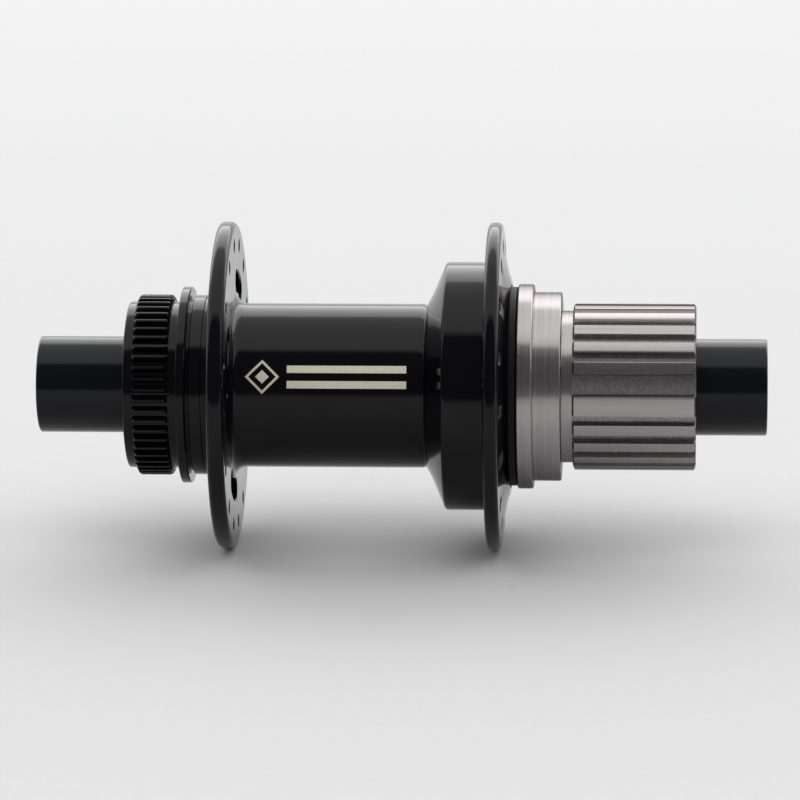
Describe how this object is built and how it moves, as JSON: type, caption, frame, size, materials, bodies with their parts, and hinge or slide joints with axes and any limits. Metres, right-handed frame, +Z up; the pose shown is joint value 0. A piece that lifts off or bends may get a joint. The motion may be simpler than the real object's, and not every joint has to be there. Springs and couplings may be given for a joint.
{
  "type": "bicycle rear hub",
  "caption": "Rear bicycle hub with spoke flanges, splined disc-rotor seat, splined cassette body, pawl ratchet and sealed bearings on a through-bored axle.",
  "frame": {"origin": "middle of the axle, on its axis, halfway between the outer faces of the two end caps", "axes": "+Y along the axle towards the disc-rotor side (the left of the bicycle), -Y towards the cassette; +Z up; +X forwards. A positive turn about +Y rolls the wheel forwards."},
  "size_m": [0.064, 0.142, 0.064],
  "materials": {
    "shell_black": "gloss black anodised, fine turned surface",
    "end_cap_black": "gloss black anodised",
    "freehub_silver": "satin silver, turned rings and hobbed spline",
    "axle_alloy": "turned, clear anodised",
    "bearing_steel": "ground",
    "tool_steel": "hardened and oiled",
    "spring_steel": "rolled strip",
    "seal_rubber": "moulded, matte",
    "cage_nylon": "moulded cage with steel balls"
  },
  "bodies": {
    "axle": {"axle": "axle_alloy", "left_end_cap": "end_cap_black", "right_end_cap": "end_cap_black", "left_cap_o_ring": "seal_rubber", "right_cap_o_ring": "seal_rubber", "left_dust_cover": "seal_rubber", "right_dust_cover": "seal_rubber", "short_spacer": "axle_alloy", "long_spacer": "axle_alloy", "left_shell_bearing_inner_race": "bearing_steel", "right_shell_bearing_inner_race": "bearing_steel", "inner_freehub_bearing_inner_race": "bearing_steel", "outer_freehub_bearing_inner_race": "bearing_steel"},
    "hub_shell": {"hub_shell": "shell_black", "ratchet_ring": "tool_steel", "left_shell_bearing_outer_race": "bearing_steel", "left_shell_bearing_left_seal": "seal_rubber", "left_shell_bearing_right_seal": "seal_rubber", "right_shell_bearing_outer_race": "bearing_steel", "right_shell_bearing_left_seal": "seal_rubber", "right_shell_bearing_right_seal": "seal_rubber"},
    "freehub": {"freehub_body": "freehub_silver", "freehub_seal": "seal_rubber", "snap_ring": "spring_steel", "inner_freehub_bearing_outer_race": "bearing_steel", "inner_freehub_bearing_left_seal": "seal_rubber", "inner_freehub_bearing_right_seal": "seal_rubber", "outer_freehub_bearing_outer_race": "bearing_steel", "outer_freehub_bearing_left_seal": "seal_rubber", "outer_freehub_bearing_right_seal": "seal_rubber", "pawl_spring_1": "spring_steel", "pawl_spring_2": "spring_steel", "pawl_spring_3": "spring_steel", "pawl_spring_4": "spring_steel", "pawl_spring_5": "spring_steel", "pawl_spring_6": "spring_steel"},
    "left_shell_bearing_cage": {"left_shell_bearing_ball_cage": "cage_nylon"},
    "right_shell_bearing_cage": {"right_shell_bearing_ball_cage": "cage_nylon"},
    "inner_freehub_bearing_cage": {"inner_freehub_bearing_ball_cage": "cage_nylon"},
    "outer_freehub_bearing_cage": {"outer_freehub_bearing_ball_cage": "cage_nylon"},
    "pawl_1": {"pawl_1": "tool_steel"},
    "pawl_2": {"pawl_2": "tool_steel"},
    "pawl_3": {"pawl_3": "tool_steel"},
    "pawl_4": {"pawl_4": "tool_steel"},
    "pawl_5": {"pawl_5": "tool_steel"},
    "pawl_6": {"pawl_6": "tool_steel"}
  },
  "joints": [
    {"name": "shell_spin", "type": "hinge", "parent": "axle", "child": "hub_shell", "pos_m": [0, 0, 0], "axis": [0, 1, 0], "continuous": true},
    {"name": "freehub_spin", "type": "hinge", "parent": "axle", "child": "freehub", "pos_m": [0, 0, 0], "axis": [0, 1, 0], "continuous": true},
    {"name": "left_shell_bearing_roll", "type": "hinge", "parent": "axle", "child": "left_shell_bearing_cage", "pos_m": [0, 0, 0], "axis": [0, 1, 0], "continuous": true},
    {"name": "right_shell_bearing_roll", "type": "hinge", "parent": "axle", "child": "right_shell_bearing_cage", "pos_m": [0, 0, 0], "axis": [0, 1, 0], "continuous": true},
    {"name": "inner_freehub_bearing_roll", "type": "hinge", "parent": "axle", "child": "inner_freehub_bearing_cage", "pos_m": [0, 0, 0], "axis": [0, 1, 0], "continuous": true},
    {"name": "outer_freehub_bearing_roll", "type": "hinge", "parent": "axle", "child": "outer_freehub_bearing_cage", "pos_m": [0, 0, 0], "axis": [0, 1, 0], "continuous": true},
    {"name": "pawl_1_press", "type": "hinge", "parent": "freehub", "child": "pawl_1", "pos_m": [-0.006, 0, 0.0146], "axis": [0, 1, 0], "range_deg": [0, 10], "stiffness_Nm_per_rad": 0.004, "springref_deg": -17.19},
    {"name": "pawl_2_press", "type": "hinge", "parent": "freehub", "child": "pawl_2", "pos_m": [0.00964, 0, 0.0125], "axis": [0, 1, 0], "range_deg": [0, 10], "stiffness_Nm_per_rad": 0.004, "springref_deg": -17.19},
    {"name": "pawl_3_press", "type": "hinge", "parent": "freehub", "child": "pawl_3", "pos_m": [0.01564, 0, -0.0021], "axis": [0, 1, 0], "range_deg": [0, 10], "stiffness_Nm_per_rad": 0.004, "springref_deg": -17.19},
    {"name": "pawl_4_press", "type": "hinge", "parent": "freehub", "child": "pawl_4", "pos_m": [0.006, 0, -0.0146], "axis": [0, 1, 0], "range_deg": [0, 10], "stiffness_Nm_per_rad": 0.004, "springref_deg": -17.19},
    {"name": "pawl_5_press", "type": "hinge", "parent": "freehub", "child": "pawl_5", "pos_m": [-0.00964, 0, -0.0125], "axis": [0, 1, 0], "range_deg": [0, 10], "stiffness_Nm_per_rad": 0.004, "springref_deg": -17.19},
    {"name": "pawl_6_press", "type": "hinge", "parent": "freehub", "child": "pawl_6", "pos_m": [-0.01564, 0, 0.0021], "axis": [0, 1, 0], "range_deg": [0, 10], "stiffness_Nm_per_rad": 0.004, "springref_deg": -17.19}
  ],
  "couplings": [
    {"joint": "left_shell_bearing_roll", "follows": "shell_spin", "ratio": 0.5911},
    {"joint": "right_shell_bearing_roll", "follows": "shell_spin", "ratio": 0.5911},
    {"joint": "inner_freehub_bearing_roll", "follows": "freehub_spin", "ratio": 0.585},
    {"joint": "outer_freehub_bearing_roll", "follows": "freehub_spin", "ratio": 0.585},
    {"joint": "pawl_2_press", "follows": "pawl_1_press", "ratio": 1},
    {"joint": "pawl_3_press", "follows": "pawl_1_press", "ratio": 1},
    {"joint": "pawl_4_press", "follows": "pawl_1_press", "ratio": 1},
    {"joint": "pawl_5_press", "follows": "pawl_1_press", "ratio": 1},
    {"joint": "pawl_6_press", "follows": "pawl_1_press", "ratio": 1}
  ]
}
